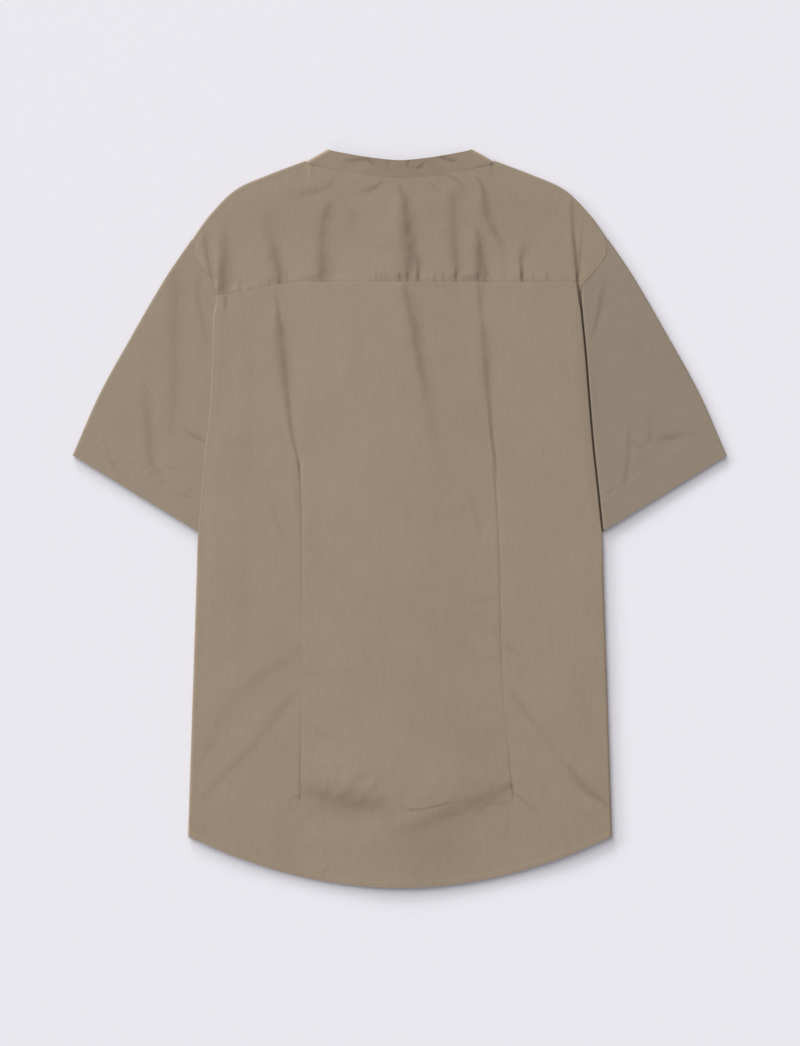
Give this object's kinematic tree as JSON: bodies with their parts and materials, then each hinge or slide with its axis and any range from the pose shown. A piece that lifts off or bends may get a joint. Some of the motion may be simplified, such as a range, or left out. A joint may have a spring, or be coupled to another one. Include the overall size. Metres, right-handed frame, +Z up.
{
  "type": "mandarin collar shirt",
  "caption": "Short-sleeved shirt with a stand collar, laid flat face down: curved hem, back yoke, two long contour darts, buttoned front beneath.",
  "frame": {"origin": "on the surface the shirt lies on, at the centre of its bounding box in plan", "axes": "+Z up, away from the surface, out of the shirt's back; +Y from hem to collar; +X towards the wearer's right sleeve"},
  "size_m": [0.7078, 0.7979, 0.0152],
  "materials": {
    "cloth": "plain-weave taupe cotton, slightly slubby, matte",
    "button": "brown horn-like polyester, satin"
  },
  "bodies": {
    "root": {"back": "cloth", "yoke": "cloth", "front_left": "cloth", "front_right": "cloth", "front_placket": "cloth", "collar_band": "cloth", "sleeve_left": "cloth", "sleeve_right": "cloth", "button_1": "button", "button_2": "button", "button_3": "button", "button_4": "button", "button_5": "button", "button_6": "button", "button_band": "button"}
  },
  "joints": []
}
